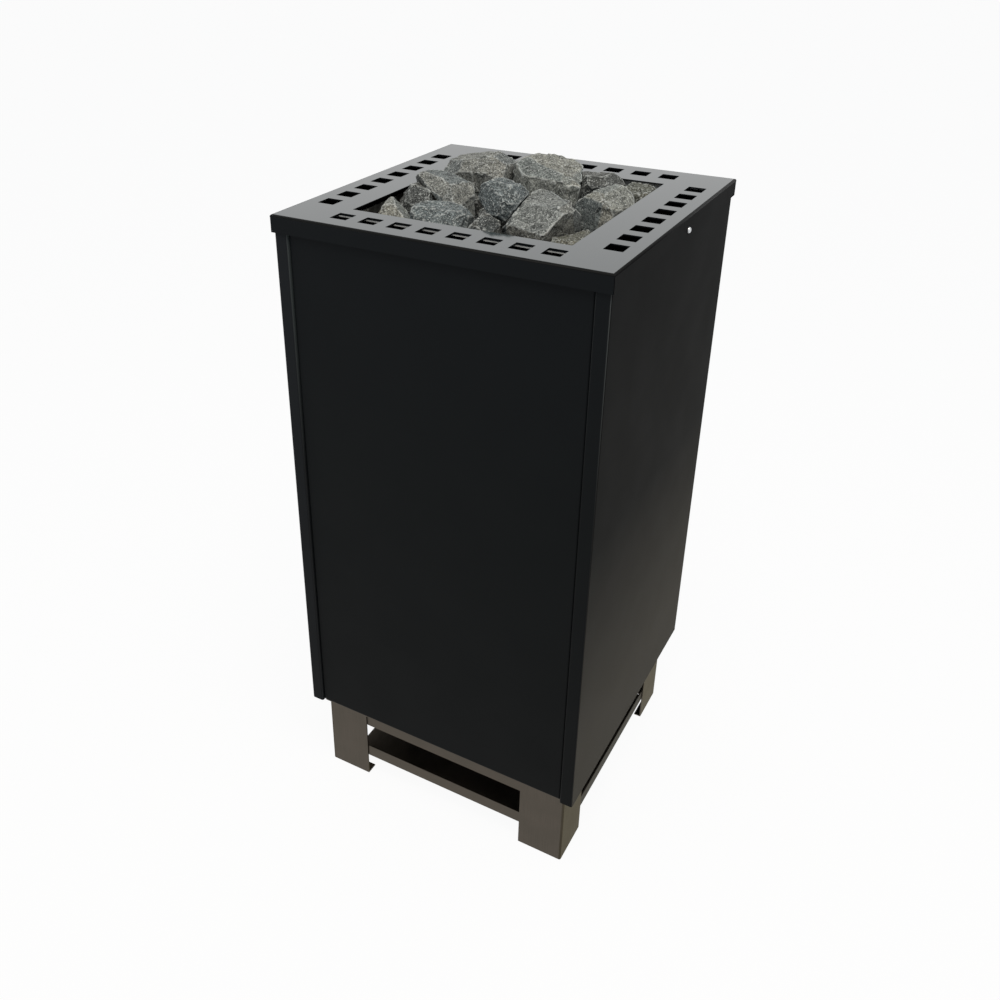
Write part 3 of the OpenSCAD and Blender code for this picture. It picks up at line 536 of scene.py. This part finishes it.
def panel_face(face):
    """0 for a panel's faces to the front and rear, 1 for those to the sides, 2 for the bends at
    the casing's corners, 3 for the strips' folded inner edges."""
    if abs(face.normal.y) > SQUARE:
        return 0
    if abs(face.calc_center_median().x) < HEM_X:
        return 3
    lean = abs(face.normal.x) - abs(face.normal.y)
    if abs(lean) < EDGE_LEAN:
        return 2
    return 1 if lean > 0 else 0


def bar_face(face):
    """0 for a crossbar's upright faces, which take a painted highlight, 1 for its level ones, which
    take the black coat as painted shade.
    """
    return 1 if abs(face.normal.z) > SQUARE else 0


def foot_face(face):
    """0 for a foot's or the tray's faces to the front and rear, 1 for all others."""
    return 0 if abs(face.normal.y) > SQUARE else 1


def chip(shape, centre, keep, draw):
    """Splits one small flat off a random side of the stone."""
    way = Vector([draw.uniform(-1, 1) for _ in range(3)]).normalized()
    reach = max((v.co - centre).dot(way) for v in shape.verts)
    cut = bmesh.ops.bisect_plane(
        shape,
        geom=shape.verts[:] + shape.edges[:] + shape.faces[:],
        plane_co=centre + way * reach * keep,
        plane_no=way,
        clear_outer=True,
    )
    rim = [g for g in cut["geom_cut"] if isinstance(g, bmesh.types.BMEdge)]
    bmesh.ops.contextual_create(shape, geom=rim)


def finely_meshed(name, shape):
    """A mesh of even small cells over the same form, its edges hardly rounded."""
    mesh = mesh_of(name, shape)
    coarse = bpy.data.objects.new(name, mesh)
    bpy.context.scene.collection.objects.link(coarse)
    remesh = coarse.modifiers.new("cells", "REMESH")
    remesh.mode = "VOXEL"
    remesh.voxel_size = STONE_CELL
    smooth = coarse.modifiers.new("worn", "SMOOTH")
    smooth.factor = WEAR
    smooth.iterations = WEAR_ROUNDS
    ready = coarse.evaluated_get(bpy.context.evaluated_depsgraph_get())
    fine = bpy.data.meshes.new_from_object(ready)
    bpy.data.objects.remove(coarse)
    bpy.data.meshes.remove(mesh)
    return fine


def broken_depth(place, seed):
    """Depth of the surface below the CAD face: tilted breaks of two sizes, then the grain."""
    shifted = place + seed
    depth = 0.0
    for cell, slope in BREAKS:
        _, points = noise.voronoi(shifted / cell)
        tilt = noise.noise_vector(points[0] * TILT_STEP)
        depth += (shifted / cell - points[0]).dot(tilt) * cell * slope
    for size, height in ROUGH:
        depth += noise.fractal(shifted / size, 1.0, 2.0, 3) * height
    return max(0.0, STONE_INSET + depth)


def mark_faces(mesh, normals, seed):
    """Two values for the material: which break a point lies on, and how far an edge stands out."""
    facet = mesh.attributes.new("facet", "FLOAT", "POINT")
    facet.data.foreach_set(
        "value", [0.5 + 0.5 * noise.noise(normal * TONE_STEP + seed) for normal in normals]
    )
    sums = [0.0] * len(mesh.vertices)
    counts = [0] * len(mesh.vertices)
    places = [v.co.copy() for v in mesh.vertices]
    ways = [v.normal.copy() for v in mesh.vertices]
    for edge in mesh.edges:
        a, b = edge.vertices
        along = places[b] - places[a]
        bend = (ways[b] - ways[a]).dot(along) / along.length
        for end in (a, b):
            sums[end] += bend
            counts[end] += 1
    ridge = mesh.attributes.new("ridge", "FLOAT", "POINT")
    ridge.data.foreach_set("value", [s / max(c, 1) for s, c in zip(sums, counts)])


def make_stone(node, material, chips, seed):
    """The CAD stone, with small breaks along its corners and a rough split surface."""
    draw = random.Random(seed)
    shape = merged_copy(node)
    bmesh.ops.dissolve_limit(
        shape, angle_limit=FLAT_ANGLE, verts=shape.verts, edges=shape.edges
    )
    low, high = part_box(node)
    centre = (Vector(low) + Vector(high)) / 2
    for _ in range(chips):
        chip(shape, centre, draw.uniform(*CHIP_REACH), draw)
    name = "split_" + node
    mesh = finely_meshed(name, shape)
    away = Vector([draw.uniform(0, NOISE_SPAN) for _ in range(3)])
    normals = [v.normal.copy() for v in mesh.vertices]
    moved = [v.co - v.normal * broken_depth(v.co, away) for v in mesh.vertices]
    for vertex, place in zip(mesh.vertices, moved):
        vertex.co = place
    mesh.update()
    mark_faces(mesh, normals, away)
    mesh.polygons.foreach_set("use_smooth", [True] * len(mesh.polygons))
    mesh.materials.clear()
    mesh.materials.append(material)
    stand_in(name, mesh, "heater", node)


def make_collar_screws(material):
    """The screws that hold the collar's lip, with low domed heads."""
    low, high = (Vector(corner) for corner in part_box("collar_screws"))
    middle = (low + high) / 2
    shape = bmesh.new()
    for side, top in ((-1, low.x), (1, high.x)):
        points = [
            shape.verts.new((top - side * depth * MM, middle.y, middle.z + radius * MM))
            for depth, radius in SCREW_SECTION
        ]
        edges = [shape.edges.new(pair) for pair in zip(points, points[1:])]
        bmesh.ops.spin(
            shape,
            geom=points + edges,
            cent=middle,
            axis=(1, 0, 0),
            angle=2 * math.pi,
            steps=SCREW_STEPS,
            use_merge=True,
        )
    bmesh.ops.remove_doubles(shape, verts=shape.verts, dist=WELD)
    bmesh.ops.recalc_face_normals(shape, faces=shape.faces)
    for face in shape.faces:
        face.smooth = True
    mesh = mesh_of("domed_collar_screws", shape)
    mesh.materials.append(material)
    mesh.set_sharp_from_angle(angle=SCREW_SHARP)
    stand_in("domed_collar_screws", mesh, "heater", "collar_screws")


make_camera()
make_room()
make_floor()
make_key()

# Powder coat by where a face points. The flat faces hardly mirror the room, and are painted darker
# towards the floor as painted shade. The collar's top is wiped smooth, mirrors the room's ceiling,
# and is painted paler and bluer as painted light. The sides are painted warmer and paler below, a
# painted reflection of the floor's light. The left strip is a paler copy of the flat coat, as
# painted light. The collar's folds are a plain dark coat; the casing's corner bends and the left
# strip's folded edge are paler near the top, a painted highlight that fades downward.
flat_coat_painted_shade = powder_coat(
    "sprayed_powder_coat_flat_painted_shade", [(0, "#020303"), (0.5, "#080B0C"), (1, "#0E1114")], 0.6, 0.08
)
# The left strip's front: a paler copy of the flat coat, lighter towards the top, as painted light
strip_coat_painted_light = powder_coat(
    "sprayed_powder_coat_strip_painted_light", [(0, "#0A0C0D"), (1, "#191C1F")], 0.6, 0.08
)
# The sides: painted warmer and paler below, a painted reflection of the floor's light
side_coat_painted_floor_light = powder_coat(
    "sprayed_powder_coat_side_painted_floor_light", [(0.2, "#423F38"), (0.5, "#131311"), (0.8, "#0A0B0B")], 0.6, 0.02
)
# The collar's top: wiped smooth, and painted paler and bluer than the other faces as painted light
top_coat_wiped_painted_pale = powder_coat("sprayed_powder_coat_wiped_painted_pale", [(0, "#1C2628"), (1, "#1C2628")], 0.07, 1.0)
fold_coat = powder_coat("sprayed_powder_coat_fold", [(0, "#0C0D0D"), (1, "#0C0D0D")], 0.5, 0.05)
# The casing's corner bends: paler near the top, a painted highlight that fades downward
edge_coat_painted_highlight = powder_coat(
    "sprayed_powder_coat_edge_painted_highlight", [(0.55, "#0C0D0D"), (0.8, "#3A3D3D")], 0.45, 0.1
)
# The left strip's folded inner edge: paler near the top, a painted highlight that fades downward
hem_coat_painted_highlight = powder_coat("sprayed_powder_coat_hem_painted_highlight", [(0.5, "#131516"), (0.8, "#363B3B")], 0.5, 0.12)
finished_copy(
    "coated_collar", "collar", "collar", collar_face,
    [flat_coat_painted_shade, top_coat_wiped_painted_pale, fold_coat, side_coat_painted_floor_light],
)
finished_copy(
    "coated_side_panel_left", "side_panel_left", "heater", panel_face,
    [strip_coat_painted_light, side_coat_painted_floor_light, edge_coat_painted_highlight, hem_coat_painted_highlight],
)
finished_copy(
    "coated_side_panel_right", "side_panel_right", "heater", panel_face,
    [flat_coat_painted_shade, side_coat_painted_floor_light, edge_coat_painted_highlight, flat_coat_painted_shade],
)
finish_nodes(flat_coat_painted_shade, "front_panel", "rear_panel")
# Dull black, a painted shade that keeps what lies behind the vents dark
finish_nodes(
    powder_coat("black_liner_paint_painted_shade", [(0, "#040404"), (1, "#040404")], 0.8, 0.02),
    "liner_front", "liner_rear", "liner_left", "liner_right",
)

# Stainless sheet, ground with a belt: a dull brown-grey. The feet's faces that do not point to
# the front or rear are painted darker as painted shade, and these, the tray's other faces and the
# side rails mirror the room dimmer at a low angle, also as painted shade
STAINLESS = ("#48443D", "#58514A", 0.4)
upright_steel = brushed_metal("brushed_stainless_upright", *STAINLESS, 2, "#F4F1EB")
shaded_side_steel = brushed_metal("brushed_stainless_painted_shade_sides", "#3B372F", "#48433A", 0.35, 2, "#CCC8BD")
across_steel = brushed_metal("brushed_stainless_across", *STAINLESS, 0, "#F4F1EB")
deep_steel_painted_shade = brushed_metal("brushed_stainless_deep_painted_shade", *STAINLESS, 1, "#BBBDBA")
for foot in ("foot_front_left", "foot_front_right", "foot_rear_left", "foot_rear_right"):
    finished_copy(
        "ground_" + foot, foot, "heater", foot_face,
        [upright_steel, shaded_side_steel],
    )
finished_copy(
    "brushed_floor_tray", "floor_tray", "heater", foot_face,
    [across_steel, deep_steel_painted_shade],
)
finish_nodes(across_steel, "upper_rail_front", "upper_rail_rear")
finish_nodes(deep_steel_painted_shade, "upper_rail_left", "upper_rail_right")

# Aluminised sheet inside: dull and grey. The crossbars' upright faces are chalky where their edges
# were cut, and painted paler as well, a painted highlight; their level faces take the black coat
# as painted shade
finish_nodes(
    spangled_sheet("hot_dipped_aluminised_sheet", "#7C7D7B", "#A2A3A0"),
    "beam_front", "beam_rear", "stone_basket", "element_plate", "terminal_box", "terminal_cover",
)
cut_strip_painted_highlight = spangled_sheet("oxide_bloomed_cut_strip_painted_pale", "#ACAEAC", "#C0C2C0", 0.15)
for bar in ("crossbar_front", "crossbar_rear"):
    finished_copy("dipped_" + bar, bar, "heater", bar_face, [cut_strip_painted_highlight, flat_coat_painted_shade])

# Solid metal: zinc is bright and bluish, the elements are tinted brown by heat
make_collar_screws(plain_metal("zinc_plated_dome", "#B4B6B8", "#CED0D1", 0.25, 0.4, 2.5, 0.02))
finish_nodes(
    plain_metal("zinc_plated_steel", "#9A9C9E", "#C9CACB", 0.2, 0.36, 2.5, 0.02),
    "m4_screws", "element_nuts",
)
finish_nodes(
    plain_metal("heat_tinted_tube", "#4B423B", "#7A6F63", 0.38, 0.55, 14, 0.05),
    "element_left", "element_centre", "element_right",
)
finish_nodes(plain_metal("dull_rolled_bar", "#4A4846", "#6E6B67", 0.5, 0.65, 5, 0.1), "stone_grate")
finish_nodes(
    plain_metal("turned_brass", "#A98A4A", "#C9A862", 0.24, 0.38, 3, 0.02),
    "element_bushes", "terminal_clamps", "earth_stud", "element_links",
)

# Pressed and moulded parts of the terminals and the gland: matt, with a fine grain
finish_nodes(moulded("fired_steatite", "#D6D0C2", "#E3DDD0", 0.45, 1.2, 0.05), "terminal_block")
finish_nodes(
    moulded("moulded_polyamide", "#17181A", "#222326", 0.5, 0.5, 0.05),
    "cable_gland", "gland_nut", "gland_lock_nut",
)
finish_nodes(moulded("silicone_rubber", "#101011", "#191919", 0.7, 0.8, 0.03), "gland_seal")

# Stones: greys from pale to nearly black, some bluish or olive, dull and speckled
COOL, WARM = "#C3CCD1", "#FAF6EE"
grey_stone = split_diabase("split_diabase_grey", "#333534", "#676967", "#9B9D99", COOL, WARM)
pale_stone = split_diabase("split_diabase_pale", "#3C3E3C", "#747672", "#A8AAA4", COOL, WARM)
blue_stone = split_diabase(
    "split_diabase_blue", "#292C2D", "#565B5B", "#8E9393", "#C0C9CE", "#ECF2F3"
)
dark_stone = split_diabase("split_diabase_dark", "#1B1C1C", "#3C3E3D", "#696B69", COOL, WARM)
olive_stone = split_diabase("split_diabase_olive", "#282823", "#505047", "#7E7E73", COOL, WARM)
finish_nodes(dark_stone, "stones_lower", "stones_upper")
# Each stone's node, its material and how many chips are split off it
STONES = [
    ("stone_01", pale_stone, 4), ("stone_02", dark_stone, 4), ("stone_03", grey_stone, 5),
    ("stone_04", blue_stone, 4), ("stone_05", grey_stone, 6), ("stone_06", blue_stone, 4),
    ("stone_07", pale_stone, 6), ("stone_08", dark_stone, 4), ("stone_09", pale_stone, 4),
    ("stone_10", grey_stone, 5), ("stone_11", dark_stone, 3), ("stone_12", olive_stone, 3),
    ("stone_13", olive_stone, 3), ("stones_filler", dark_stone, 0),
]
noise.seed_set(STONE_NOISE)
for count, (node, material, chips) in enumerate(STONES):
    make_stone(node, material, chips, count)
